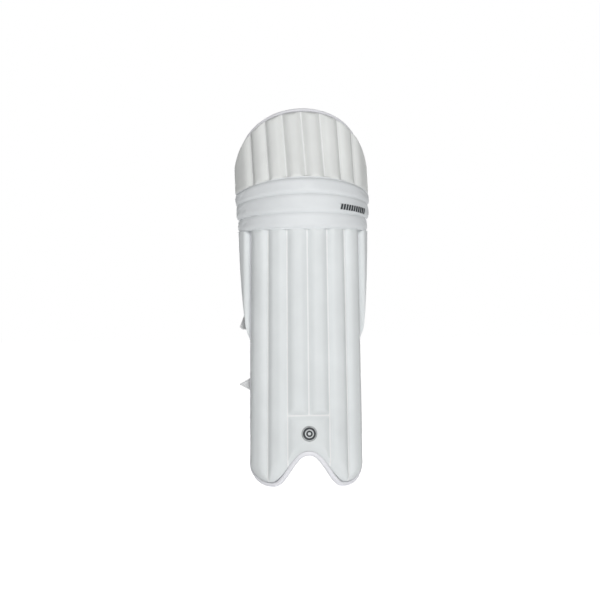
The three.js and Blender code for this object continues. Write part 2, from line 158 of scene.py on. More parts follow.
def depth_behind_hinge(turn, out):
    return LINING_RADIUS - (LINING_RADIUS + out) * np.cos(np.radians(turn)) - HINGE_DEPTH


def place(section, turn, out, height):
    """Points of a section, in metres, from arrays of turn, out and height."""
    turn, out, height = np.broadcast_arrays(turn, out, height)
    back = depth_behind_hinge(turn, out)
    c, s = math.cos(section.lean), math.sin(section.lean)
    x = (LINING_RADIUS + out) * np.sin(np.radians(turn))
    y = section.hinge[1] + back * c + height * s
    z = section.hinge[2] - back * s + height * c
    return np.stack([x, y, z], -1) * MM


def outward_of(section, turn, height):
    return unit(place(section, turn, 1.0, height) - place(section, turn, 0.0, height))


def seam_plane(turn, out):
    """How far the middle of a knee seam lies beyond the hinge plane of the section below it."""
    return -depth_behind_hinge(turn, out) * math.tan(math.radians(REST_BEND / 2))


def seam_lip(turn, out):
    """How far a section stops short of its hinge plane, which leaves room for the knee to bend."""
    back = depth_behind_hinge(turn, out)
    behind = math.tan(math.radians((REST_BEND + FLEX_MOST) / 2))
    ahead = math.tan(math.radians((REST_BEND - FLEX_LEAST) / 2))
    return 0.5 + back * np.where(back > 0, behind, ahead)


# ---- Arrays ----
def unit(vectors):
    return vectors / np.maximum(np.linalg.norm(vectors, axis=-1, keepdims=True), 1e-12)


def net(columns, rows):
    return np.meshgrid(columns, rows, indexing="ij")


def arc(turn):
    """Degrees round the leg as millimetres."""
    return np.radians(turn) * GROOVE_RADIUS


def joined(*parts):
    """One array from parts that each start where the one before ends."""
    return np.concatenate([parts[0]] + [part[1:] for part in parts[1:]])


def spread(stops, steps):
    """Points from each stop to the next, closer together near the stops."""
    shares = (1.0 - np.cos(np.linspace(0.0, math.pi, steps + 1)[:-1])) / 2.0
    parts = [lo + (hi - lo) * shares for lo, hi in zip(stops[:-1], stops[1:])]
    return np.concatenate(parts + [[stops[-1]]])


def distance_along(points):
    """How far along a line of points each of them lies."""
    steps = np.linalg.norm(np.diff(points, axis=0), axis=1)
    return np.concatenate([[0.0], np.cumsum(steps)])


def along_line(distance, reach, points):
    """Values at distances along a line, from the values at its points, whose distances are in reach."""
    return np.stack([np.interp(distance, reach, column) for column in np.asarray(points).T], -1)


def shoulder(distance, radius):
    """A quarter-round rise from 0 at distance 0 to 1 at the radius."""
    share = np.clip(np.asarray(distance, float) / radius, 0.0, 1.0)
    return np.sqrt(1.0 - (1.0 - share) ** 2)


def swell(distance, radius):
    """Like shoulder, but it starts at a slope instead of upright."""
    return 1.0 - (1.0 - np.clip(np.asarray(distance, float) / radius, 0.0, 1.0)) ** 2


def smooth(share):
    share = np.clip(share, 0.0, 1.0)
    return share * share * (3.0 - 2.0 * share)


def ripple(a, b, scale_a, scale_b, seed):
    """Smooth noise between -1 and 1 over two coordinate arrays."""
    a, b = np.broadcast_arrays(np.asarray(a, float), np.asarray(b, float))
    flat = [noise.noise((p / scale_a, q / scale_b, seed)) for p, q in zip(a.ravel(), b.ravel())]
    return np.array(flat).reshape(a.shape)


# ---- Meshes ----
def new_piece(name, points, faces, looks, face_looks=None):
    mesh = bpy.data.meshes.new(name)
    mesh.from_pydata(np.asarray(points).tolist(), [], faces)
    for look in looks:
        mesh.materials.append(look)
    if face_looks is not None:
        mesh.polygons.foreach_set("material_index", face_looks)
    mesh.polygons.foreach_set("use_smooth", [True] * len(mesh.polygons))
    mesh.set_sharp_from_angle(angle=math.radians(50.0))
    mesh.update()
    piece = bpy.data.objects.new(name, mesh)
    bpy.context.scene.collection.objects.link(piece)
    return piece


def face_out(piece):
    shape = bmesh.new()
    shape.from_mesh(piece.data)
    bmesh.ops.recalc_face_normals(shape, faces=shape.faces)
    shape.to_mesh(piece.data)
    shape.free()


def quads(index, flip=False):
    a, b, c, d = index[:-1, :-1], index[1:, :-1], index[1:, 1:], index[:-1, 1:]
    order = (a, d, c, b) if flip else (a, b, c, d)
    return np.stack(order, -1).reshape(-1, 4).tolist()


def stack_faces(rows, around):
    """Faces of a solid made of rings of points, one after another, with a flat face at each end."""
    index = np.arange(rows * around).reshape(rows, around)
    wrapped = np.concatenate([index, index[:, :1]], axis=1)
    return quads(wrapped) + [index[0].tolist(), index[-1, ::-1].tolist()]


def closed_sheet(name, front, back, looks, marked=None):
    """A closed piece from two grids of points. The back and marked quads in front take the last look."""
    n, m = front.shape[:2]
    index = np.arange(n * m).reshape(n, m)
    loop = np.concatenate([index[:-1, 0], index[-1, :-1], index[:0:-1, -1], index[0, :0:-1]])
    after = np.roll(loop, -1)
    rim = np.stack([loop, loop + n * m, after + n * m, after], -1).tolist()
    front_faces, back_faces = quads(index), quads(index + n * m, flip=True)
    points = np.concatenate([front.reshape(-1, 3), back.reshape(-1, 3)])
    last = len(looks) - 1
    slots = [0] * len(front_faces) if marked is None else (marked.ravel() * last).tolist()
    slots += [last] * len(back_faces) + [0] * len(rim)
    return new_piece(name, points, front_faces + back_faces + rim, looks, slots)


def shell(name, front, looks, marked=None):
    """A facing's cover, from its front."""
    normals = unit(np.cross(np.gradient(front, axis=0), np.gradient(front, axis=1)))
    return closed_sheet(name, front, front - normals * FACING_THICK * MM, looks, marked)


def tube(name, centre, side, up, half_side, half_up, look):
    """A folded tape along a line. Its section is a rounded box, with half sizes in millimetres."""
    count, around, roundness = len(centre), 16, 2 / 2.4
    angle = np.linspace(0.0, 2 * math.pi, around, endpoint=False)
    across = np.sign(np.cos(angle)) * np.abs(np.cos(angle)) ** roundness
    rise = np.sign(np.sin(angle)) * np.abs(np.sin(angle)) ** roundness
    half_side = np.broadcast_to(half_side, count)[:, None, None] * MM
    half_up = np.broadcast_to(half_up, count)[:, None, None] * MM
    rings = centre[:, None] + side[:, None] * across[:, None] * half_side
    rings = rings + up[:, None] * rise[:, None] * half_up
    piece = new_piece(name, rings.reshape(-1, 3), stack_faces(count, around), [look])
    face_out(piece)
    return piece


def across_line(points, outward):
    """Sideways directions of a line of points that has outward directions."""
    return unit(np.cross(np.gradient(points, axis=0), outward))


# ---- Dressing the frame's solids ----
def dress(piece, body, slot, *nodes):
    """Lets a piece stand in for the frame's solids and ride on their body."""
    if nodes:
        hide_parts(*nodes)
    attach(piece, body)


def dress_between(piece, lower, upper, middle, reach, slot, *nodes):
    """Hides the frame's solids that a piece stands in for, and bakes the piece's place into its points;
    it rides on no body.
    """
    if nodes:
        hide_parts(*nodes)
    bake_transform(piece)


def joint_place(name):
    return next(np.array(joint["pos_m"]) for joint in frame["joints"] if joint["name"] == name)


# ---- Stitches: one low spindle for each, gathered into one piece per body ----
stitch_rows = {}


def stitch(body, points, outward, pitch=4.6, long=3.0, wide=0.75):
    """Adds a row of stitches along a line of points, in metres."""
    reach = distance_along(points) / MM
    stops = np.arange(pitch / 2, reach[-1] - pitch / 4, pitch)
    at = along_line(stops, reach, points)
    along = unit(along_line(stops + 0.5, reach, points) - at)
    side = unit(np.cross(along, along_line(stops, reach, outward)))
    up = np.cross(side, along)
    axes = np.stack([along * long, side * wide, up * wide], 1) * MM
    stitch_rows.setdefault(body, []).append((at, axes))


def build_stitches(look):
    """A stitch is a six-sided spindle whose middle stands proud and whose ends dip into the cloth."""
    along = np.array([-0.5, -0.32, 0.0, 0.32, 0.5])[:, None]
    fat = np.array([0.25, 0.85, 1.0, 0.85, 0.25])[:, None]
    rise = np.array([-0.25, 0.12, 0.3, 0.12, -0.25])[:, None]
    angle = np.linspace(0.0, 2 * math.pi, 6, endpoint=False)
    side, up = fat * np.cos(angle) / 2, 0.7 * (fat * np.sin(angle) / 2 + rise)
    spindle = np.stack([along + 0 * angle, side, up], -1).reshape(-1, 3)
    faces = stack_faces(len(along), len(angle))
    for body, rows in stitch_rows.items():
        points = np.concatenate([at[:, None] + spindle @ axes for at, axes in rows]).reshape(-1, 3)
        starts = range(0, len(points), len(spindle))
        all_faces = [[corner + start for corner in face] for start in starts for face in faces]
        piece = new_piece(f"{body}_stitches", points, all_faces, [look])
        face_out(piece)
        dress(piece, body, "piping")


# ---- Materials ----
WHITE = (1.0, 1.0, 1.0)


class Look:
    """A procedural material under construction."""

    def __init__(self, name):
        self.material = bpy.data.materials.new(name)
        self.material.use_nodes = True
        self.tree = self.material.node_tree
        self.shader = self.tree.nodes["Principled BSDF"]
        self.where = self.add("ShaderNodeTexCoord").outputs["Object"]

    def add(self, kind, **values):
        node = self.tree.nodes.new(kind)
        for key, value in values.items():
            if hasattr(node, key):
                setattr(node, key, value)
            else:
                node.inputs[key].default_value = value
        return node

    def join(self, start, end):
        self.tree.links.new(start, end)

    def noise(self, scale, detail=3.0, where=None):
        node = self.add("ShaderNodeTexNoise", Scale=scale, Detail=detail)
        self.join(where or self.where, node.inputs["Vector"])
        return node.outputs["Fac"]

    def cells(self, scale, feature="F1"):
        node = self.add("ShaderNodeTexVoronoi", feature=feature, Scale=scale)
        self.join(self.where, node.inputs["Vector"])
        return node.outputs["Distance"]

    def ramp(self, value, low, high, low_colour, high_colour):
        node = self.add("ShaderNodeValToRGB")
        self.join(value, node.inputs["Fac"])
        for stop, place, colour in zip(node.color_ramp.elements, (low, high), (low_colour, high_colour)):
            stop.position = place
            stop.color = (*colour, 1.0)
        return node.outputs["Color"]

    def blotches(self, scale, detail, low_colour, high_colour):
        return self.ramp(self.noise(scale, detail), 0.3, 0.7, low_colour, high_colour)

    def multiply(self, a, b):
        node = self.add("ShaderNodeMix", data_type="RGBA", blend_type="MULTIPLY")
        node.inputs[0].default_value = 1.0
        self.join(a, node.inputs[6])
        self.join(b, node.inputs[7])
        return node.outputs[2]

    def bump(self, height, strength, distance, normal=None):
        node = self.add("ShaderNodeBump", Strength=strength, Distance=distance)
        self.join(height, node.inputs["Height"])
        if normal is not None:
            self.join(normal, node.inputs["Normal"])
        return node.outputs["Normal"]

    def math(self, operation, *values):
        node = self.add("ShaderNodeMath", operation=operation)
        for socket, value in zip(node.inputs, values):
            if isinstance(value, (int, float)):
                socket.default_value = value
            else:
                self.join(value, socket)
        return node.outputs[0]

    def finish(self, **values):
        for key, value in values.items():
            socket = self.shader.inputs[key.replace("_", " ")]
            if isinstance(value, bpy.types.NodeSocket):
                self.join(value, socket)
            else:
                socket.default_value = value
        return self.material


def faux_leather(name, colour, rough, grain):
    """White polyurethane: fine pebbled grain, faint mottling and painted shade that darkens the creases.
    """
    look = Look(name)
    mottle = look.blotches(14.0, 5.0, tuple(0.93 * c for c in colour), colour)
    # painted shade: the cover is darkened where pointiness finds hollows, in creases and grooves
    crease = look.add("ShaderNodeNewGeometry").outputs["Pointiness"]
    crease_shade = look.ramp(crease, 0.42, 0.5, (0.9, 0.9, 0.895), WHITE)
    fine = look.bump(look.cells(1400.0, "SMOOTH_F1"), grain, 0.00025)
    soft = look.bump(look.noise(55.0, 4.0), 0.1, 0.003, fine)
    shine = look.blotches(30.0, 4.0, (rough - 0.06,) * 3, (rough + 0.08,) * 3)
    tint = look.multiply(mottle, crease_shade)
    return look.finish(Base_Color=tint, Roughness=shine, Normal=soft, Specular_IOR_Level=0.4)


def weave_height(look, pitch):
    """Crossed threads: two wave patterns at right angles, over and under each other."""
    split = look.add("ShaderNodeSeparateXYZ")
    look.join(look.where, split.inputs[0])
    round_leg = look.math("ADD", split.outputs["X"], split.outputs["Y"])
    turns = 2 * math.pi / pitch
    warp = look.math("SINE", look.math("MULTIPLY", round_leg, turns))
    weft = look.math("SINE", look.math("MULTIPLY", split.outputs["Z"], turns))
    return look.math("MULTIPLY", warp, weft)


def cloth(name, colour, pitch, depth, sheen=0.3):
    look = Look(name)
    threads = weave_height(look, pitch)
    # painted shade: the weave is darker where its threads dip under
    shade = look.math("MULTIPLY_ADD", threads, 0.5, 0.5)
    weave_shade = look.ramp(shade, 0.0, 1.0, tuple(0.86 * c for c in colour), colour)
    tint = look.multiply(weave_shade, look.blotches(22.0, 5.0, (0.93, 0.93, 0.92), WHITE))
    fine = look.bump(threads, 0.5, depth)
    fuzz = look.bump(look.noise(900.0, 2.0), 0.25, depth, fine)
    return look.finish(Base_Color=tint, Roughness=0.9, Normal=fuzz, Sheen_Weight=sheen)


def foam_look():
    look = Look("foam")
    tint = look.blotches(40.0, 3.0, (0.62, 0.58, 0.46), (0.72, 0.68, 0.56))
    return look.finish(Base_Color=tint, Roughness=0.95, Normal=look.bump(look.cells(700.0), 0.4, 0.0005))


def cane_look():
    """Split cane: pale stripes along the rod."""
    look = Look("cane")
    stretch = look.add("ShaderNodeMapping", Scale=(900.0, 900.0, 14.0))
    look.join(look.where, stretch.inputs["Vector"])
    fibres = look.noise(1.0, 4.0, stretch.outputs["Vector"])
    tint = look.ramp(fibres, 0.3, 0.7, (0.42, 0.26, 0.11), (0.66, 0.46, 0.22))
    return look.finish(Base_Color=tint, Roughness=0.5, Normal=look.bump(fibres, 0.4, 0.0004))


def hook_look():
    """Hook tape: tiny nylon hooks, close together."""
    look = Look("hook_tape")
    dots = look.cells(750.0)
    tint = look.ramp(dots, 0.1, 0.6, (0.62, 0.63, 0.64), (0.4, 0.41, 0.42))
    return look.finish(Base_Color=tint, Roughness=0.45, Normal=look.bump(dots, 0.9, 0.0006))


def print_look(name, colour):
    """Printed vinyl, slightly mottled, with a fine grain."""
    look = Look(name)
    tint = look.ramp(look.noise(160.0, 5.0), 0.35, 0.65, colour, tuple(1.25 * c for c in colour))
    grain = look.bump(look.noise(1200.0, 2.0), 0.3, 0.0003)
    return look.finish(Base_Color=tint, Roughness=0.5, Normal=grain)


PU = faux_leather("cover_leather", (0.785, 0.815, 0.82), 0.46, 0.35)
# painted light: the top hat's leather is a lighter, warmer copy of the cover leather, making up for light
# the leaning top hat misses
TOP_PU_PAINTED_LIGHTER = faux_leather("top_hat_leather_painted_lighter", (0.82, 0.835, 0.82), 0.46, 0.35)
# painted light: the rolls' leather is a lighter copy of the cover leather, standing in for the light on
# the rolls
ROLL_PU_PAINTED_LIGHTER = faux_leather("roll_leather", (0.80, 0.825, 0.84), 0.46, 0.35)
# painted highlight: a lighter copy of the leather for the strips along the seams
SEAM_HIGHLIGHT_PU = faux_leather("seam_strip_highlight", (0.93, 0.935, 0.935), 0.4, 0.2)
PIPING = faux_leather("piping", (0.84, 0.84, 0.875), 0.36, 0.2)
LINING = cloth("lining_cloth", (0.80, 0.80, 0.775), 0.0016, 0.0004)
BOLSTER = cloth("bolster_cloth", (0.84, 0.84, 0.82), 0.0012, 0.0003, sheen=0.5)
WEBBING = cloth("strap_webbing", (0.86, 0.87, 0.88), 0.0022, 0.0006)
THREAD = cloth("thread", (0.83, 0.83, 0.84), 0.0006, 0.0002)
HOOK = hook_look()
LOOP = cloth("loop_tape", (0.62, 0.63, 0.64), 0.0012, 0.0005, sheen=0.8)
FOAM = foam_look()
CANE = cane_look()
DARK = print_look("badge", (0.034, 0.038, 0.043))
LIGHT = print_look("badge_rings", (0.62, 0.64, 0.65))


# ---- Padding ----
def distance_to(outline, turn, height):
    """Distance from each point of the unrolled surface to a finely divided outline."""
    tree = KDTree(len(outline))
    for k, (a, b) in enumerate(outline):
        tree.insert((a, b, 0.0), k)
    tree.balance()
    flat = [tree.find((a, b, 0.0))[2] for a, b in zip(arc(turn).ravel(), height.ravel())]
    return np.array(flat).reshape(turn.shape)


def skirted(section, turn, out, height, bottom=True, top=True, past=1.0):
    """A facing's front, in metres. Two extra rings turn it down over its free edges and past them."""
    columns = np.concatenate([[-2, -1], np.zeros(turn.shape[0], int), [1, 2]])
    rows = np.concatenate([[-2, -1][: 2 * bottom], np.zeros(turn.shape[1], int), [1, 2][: 2 * top]])
    side, end = net(np.sign(columns), np.sign(rows))
    ring = np.maximum(np.abs(columns)[:, None], np.abs(rows)[None, :])
    pads = ((2, 2), (2 * bottom, 2 * top))
    turn, out, height = (np.pad(values, pads, mode="edge") for values in (turn, out, height))
    out = np.select([ring == 1, ring == 2], SKIRT_OUT, out)
    return place(section, turn + side * math.degrees(1.0 / GROOVE_RADIUS), out, height + end * past)


def skirt_pad(marked, bottom=True, top=True):
    """Which quads of a skirted facing have all four corners marked."""
    marked = np.pad(marked, ((2, 2), (2 * bottom, 2 * top)), constant_values=False)
    return marked[:-1, :-1] & marked[1:, :-1] & marked[1:, 1:] & marked[:-1, 1:]


def lining_dent(seam_gap):
    """How far the stitches draw the lining into the padding at a distance from their seam."""
    return LINING_DRAW * (np.exp(-((seam_gap / 5.0) ** 2)) + np.exp(-((seam_gap / 1.5) ** 2))) / 2


def padding_cloth(name, body, section, turn, height, dent, *nodes):
    """The cloth on the leg side of the padding, drawn in by dent along its seams."""
    back = place(section, turn, dent, height)
    front = place(section, turn, LINING_THICK + 0.3 * dent, height)
    dress(closed_sheet(name, front, back, [LINING]), body, "lining_cloth", *nodes)


def padded_out(crest, valley, seam_gap, turn, height, seed):
    """Height of a stuffed facing: flat seam strips, rounded shoulders, puckers beside the stitches."""
    rise = swell(seam_gap - SEAM_HALF, SEAM_ROUND)
    lumps = 0.35 * ripple(arc(turn), height, 24.0, 60.0, seed) * smooth(seam_gap / 14.0)
    beside_seam = np.exp(-(((seam_gap - 4.0) / 3.0) ** 2))
    pucker = 0.25 * ripple(arc(turn), height, 5.0, 5.5, seed + 7.0) * beside_seam
    return valley + (crest - valley) * rise + lumps + pucker


def stitch_surface(section, turn, out, height, way=1):
    """A row of stitches along a line on a facing, or with way -1 on the leg side."""
    stitch(section.body, place(section, turn, out, height), way * outward_of(section, turn, height))


# ---- Shin ----
def channel_turn(height):
    share = np.clip(np.asarray(height, float) / KNEE_HEIGHT, 0.0, 1.0)
    return CHANNEL_TURN[0] + (CHANNEL_TURN[1] - CHANNEL_TURN[0]) * share


def edge_turn(height):
    return SHIN_CHANNELS / 2 * channel_turn(height)


def shin_turn(across, height):
    """Degrees round the leg of a place counted in channels from the middle."""
    outer = np.maximum(np.abs(across) - 2.0, 0.0)
    drawn = SEAM_DRAW * np.minimum(np.abs(across), 2.0) + (3.0 - 2.0 * SEAM_DRAW) * outer
    return np.sign(across) * drawn * channel_turn(height)


def instep_outline(turn, inset):
    """Height of the scalloped bottom edge, moved into the pad by inset."""
    bottom, side = inset
    across = np.abs(GROOVE_RADIUS * np.sin(np.radians(turn)))
    share = np.minimum(1.0, across / (ARCH["half"] + 0.7 * bottom))
    arch_up = ARCH["height"] * (1 + np.cos(math.pi * share ** ARCH["power"])) / 2
    corner = np.clip((across - LOBE["centre"]) / (LOBE["wide"] - side), 0.0, 1.0)
    corner_up = (LOBE["high"] - bottom) * (1 - np.sqrt(1 - corner**2))
    return bottom + arch_up + corner_up


def shin_grid(steps, rows, level=SEAM_LEVEL):
    """Channel, turn and height of each point. Rows 0 to 1 reach the cross seam, rows 1 to 2 the knee."""
    across, row = net(spread(np.arange(-SHIN_CHANNELS / 2, SHIN_CHANNELS / 2 + 1), steps), rows)
    bottom = instep_outline(shin_turn(across, 0.0), PANEL_INSET)
    top = KNEE_HEIGHT - seam_lip(shin_turn(across, KNEE_HEIGHT), level)
    low = bottom + (CROSS_SEAM - bottom) * np.minimum(row, 1.0)
    height = low + (top - CROSS_SEAM) * np.maximum(row - 1.0, 0.0)
    return across, shin_turn(across, height), height


def shin_outline():
    turn = np.linspace(-edge_turn(0), edge_turn(0), 1600)
    bottom = np.stack([arc(turn), instep_outline(turn, PANEL_INSET)], -1)
    heights = np.arange(bottom[0, 1], KNEE_HEIGHT + 5, 0.5)
    sides = [np.stack([side * arc(edge_turn(heights)), heights], -1) for side in (-1, 1)]
    return np.concatenate([bottom] + sides)


def shin_seam_gap(turn, height):
    """Distance to the nearest stitched seam: the grooves between channels and the cross seam."""
    s, step = arc(turn), arc(shin_turn(1.0, height))
    cross_seam = np.hypot(np.maximum(np.abs(s) - step, 0.0), height - CROSS_SEAM)
    middle_groove = np.hypot(s, np.maximum(CROSS_SEAM - height, 0.0))
    grooves = [np.abs(s - k * step) for k in (-2, -1, 1, 2)]
    return np.minimum.reduce([cross_seam, middle_groove] + grooves)


def shin_facing():
    near_cross_seam, near_knee = 1.2, 1.94
    rows = joined(
        spread([0.0, 1.0], 34),
        spread([1.0, near_cross_seam], 22),
        np.linspace(near_cross_seam, near_knee, 60),
        np.linspace(near_knee, 2.0, 12),
    )
    across, turn, height = shin_grid(18, rows)
    on_panel = (np.abs(across) < 1.0) & (height < CROSS_SEAM)
    crest = np.where(on_panel, PANEL_CREST, SHIN_CREST)
    seam_gap = shin_seam_gap(turn, height)
    out = padded_out(crest, SHIN_VALLEY, seam_gap, turn, height, 3.0)
    rim = EDGE_OUT + (SHIN_CREST - EDGE_OUT) * swell(distance_to(shin_outline(), turn, height), RIM_ROUND)
    knee_gap = KNEE_HEIGHT + seam_plane(turn, SEAM_LEVEL) - height
    out = np.minimum.reduce([out, rim, knee_out(SHIN, 0, turn, knee_gap)])
    # the quads along the seams take the lighter seam leather, a painted highlight
    marked = skirt_pad(seam_gap < SEAM_STRIP, top=False)
    piece = shell("shin_facing", skirted(SHIN, turn, out, height, top=False), [PU, SEAM_HIGHLIGHT_PU], marked)
    fills = [f"shin_fill_{k + 1}" for k in range(SHIN_CHANNELS)]
    dress(piece, "shin", "cover_leather", "shin_cover", "instep_fill", *fills)


def shin_stitches():
    for k in range(-2, 3):
        low = CROSS_SEAM + 3 if k == 0 else instep_outline(shin_turn(k, 0.0), PANEL_INSET) + 5
        height = np.linspace(low, KNEE_HEIGHT - 12, 80)
        stitch_surface(SHIN, shin_turn(k, height), SHIN_VALLEY, height)
        stitch_surface(SHIN, shin_turn(k, height), LINING_DRAW - 0.1, height, way=-1)
    turn = np.linspace(-1, 1, 40) * (shin_turn(1.0, CROSS_SEAM) - 1.0)
    stitch_surface(SHIN, turn, SHIN_VALLEY, CROSS_SEAM + 0 * turn)


def shin_lining():
    _, turn, height = shin_grid(12, joined(spread([0.0, 1.0], 20), np.linspace(1.0, 2.0, 60)), level=0.0)
    dent = lining_dent(shin_seam_gap(turn, height))
    padding_cloth("shin_lining_cloth", "shin", SHIN, turn, height, dent, "shin_lining")


# ---- Bindings ----
def binding(name, section, turn, height, half_wide, half_thick, node):
    """A folded tape round an edge, in line with the surface. Returns its middle line and directions."""
    centre = place(section, turn, BINDING_OUT, height)
    outward = outward_of(section, turn, height)
    side = across_line(centre, outward)
    gathers = 0.45 * ripple(turn, height, 1.7, 3.4, 61.0)
    piece = tube(name, centre, side, outward, half_wide + 0.4 * gathers, half_thick + gathers, PIPING)
    dress(piece, section.body, "piping", node)
    return centre, outward, side


def binding_half(turn, height):
    """Half a binding's width: widest in the arch, and narrow up the sides."""
    narrow = 2.3
    wide = 4.2 + 0.9 * np.exp(-((turn / 14.0) ** 2))
    return narrow + (wide - narrow) * (1.0 - smooth((height - 24.0) / 34.0) * (np.abs(turn) > 40.0))


def instep_binding():
    """It ends in the lobes' corners, where the side bindings are tucked under it."""
    turn = np.linspace(-BINDING_END, BINDING_END, 260)
    height = instep_outline(turn, BINDING_INSET)
    half = binding_half(turn, height)
    name, node = "instep_binding_tape", "instep_binding"
    centre, outward, side = binding(name, SHIN, turn, height, half, 7.0, node)
    inner = centre + outward * 6.4 * MM - side * (half[:, None] - 1.3) * MM
    stitch("shin", inner, outward, pitch=4.0, long=2.6)


def side_bindings():
    corner = BINDING_END - 1.0 + (61.6 - BINDING_END) * np.sin(np.linspace(0.0, math.pi / 2, 30))
    corner_height = instep_outline(corner, BINDING_INSET)
    upright = np.linspace(corner_height[-1] + 8, KNEE_HEIGHT - 4, 90)
    turn = np.concatenate([corner, edge_turn(upright) + 1.4])
    height = np.concatenate([corner_height, upright])
    tuck = 0.9 + 0.1 * smooth((height - height[0] - 2.0) / 6.0)
    half, thick = binding_half(turn, height) * tuck, 6.4 * tuck
    for name, side in (("left", -1), ("right", 1)):
        binding(f"side_binding_{name}", SHIN, side * turn, height, half, thick, f"side_piping_{name}")


def top_hat_binding():
    edge = CAP_EDGE_TURN + 1.6
    over_dome = np.linspace(-edge, edge, 240)
    dome_height = dome_top(over_dome, 4.8)
    upright = np.linspace(7.0, dome_height[0] - 4.0, 14)
    turn = np.concatenate([np.full(14, -edge), over_dome, np.full(14, edge)])
    height = np.concatenate([upright, dome_height, upright[::-1]])
    centre, outward, side = binding("top_hat_binding", CAP, turn, height, 4.3, 7.6, "top_hat_piping")
    stitch("top_hat", centre + (outward * 7.2 + side * 2.8) * MM, outward, pitch=4.0, long=2.6)


# ---- Side wings ----
def outer_edge_turn(height):
    """How far round the leg the padding reaches, wing included."""
    share = np.clip((height - WING_FOOT) / (KNEE_HEIGHT - WING_FOOT), 0.0, 1.0)
    inner = edge_turn(height) + np.where(height > WING_FOOT, WING_FROM, 0.0)
    return inner + (WING_EDGE_TURN - inner) * np.sin(share * math.pi / 2)


def wing_crest(turn, height):
    """Height of a wing's padding: rounded at its inner edge, and more softly at its outer one."""
    inner_gap = arc(np.abs(turn) - edge_turn(height) - WING_FROM)
    outer_gap = arc(outer_edge_turn(height) - np.abs(turn))
    rise = np.minimum(shoulder(inner_gap, 7.0), shoulder(outer_gap, 20.0))
    full = smooth((height - WING_FOOT) / 50.0)  # it thins towards its tail
    return 4.0 + (WING_RIM - 4.0) * full + (WING_CREST - WING_RIM) * rise * full


def wing(name, side):
    share, row = net(spread([0.0, 1.0], 26), spread([0.0, 1.0], 90))
    low = WING_FOOT + 4.0
    level = low + (KNEE_HEIGHT - low) * row
    inner = edge_turn(level) + WING_FROM
    turn = inner + (outer_edge_turn(level) - inner) * share
    height = low + (KNEE_HEIGHT - seam_lip(turn, SEAM_LEVEL) - 0.2 - low) * row
    lining_height = low + (KNEE_HEIGHT - seam_lip(turn, 0.0) - 0.8 - low) * row
    if side < 0:
        turn, height, lining_height = -turn[::-1], height[::-1], lining_height[::-1]
    top_gap = KNEE_HEIGHT + seam_plane(turn, SEAM_LEVEL) - height
    lumps = 0.3 * ripple(arc(turn), height, 14.0, 40.0, 41.0 + side)
    out = np.minimum(wing_crest(turn, height) + lumps * row, knee_out(SHIN, 0, turn, top_gap))
    piece = shell(f"wing_facing_{name}", skirted(SHIN, turn, out, height, past=0.0), [PU])
    dress(piece, f"{name}_wing", "cover_leather", f"wing_cover_{name}", f"wing_fill_{name}")
    padding_cloth(f"wing_lining_{name}", f"{name}_wing", SHIN, turn, lining_height, 0.0)


# ---- Knee seams ----
def knee_crest(section, turn):
    """How far a section's padding stands out beside a knee seam, falling towards its ends."""
    end_round = ROLL_END_ROUND.get(section.body, RIM_ROUND)
    roll = EDGE_OUT + (ROLL_CREST - EDGE_OUT) * shoulder(arc(ROLL_EDGE_TURN - np.abs(turn)), end_round)
    return np.minimum(roll, {"shin": SHIN_CREST, "top_hat": CAP_CREST}.get(section.body, ROLL_CREST))


def knee_valley(seam, turn):
    below, above = KNEE_SEAMS[seam]
    end_depth = 3.6
    depth = end_depth + (KNEE_DEPTH - end_depth) * smooth((66.0 - np.abs(turn)) / 30.0)
    return np.minimum(knee_crest(below, turn), knee_crest(above, turn)) - depth


def knee_out(section, seam, turn, gap):
    """A section's height at a distance from one of its knee seams."""
    valley = knee_valley(seam, turn)
    return valley + (knee_crest(section, turn) - valley) * shoulder(gap, KNEE_ROUND)


def shin_side_out(turn):
    """Height of the shin's and the wings' facings at the knee, towards and past the shin's edges."""
    edge = edge_turn(KNEE_HEIGHT)
    rim = EDGE_OUT + (SHIN_CREST - EDGE_OUT) * swell(arc(edge - np.abs(turn)), RIM_ROUND)
    past_rim = np.where(np.abs(turn) < edge + WING_FROM, BINDING_OUT + 5.5, wing_crest(turn, KNEE_HEIGHT))
    return np.where(np.abs(turn) < edge, rim, past_rim)


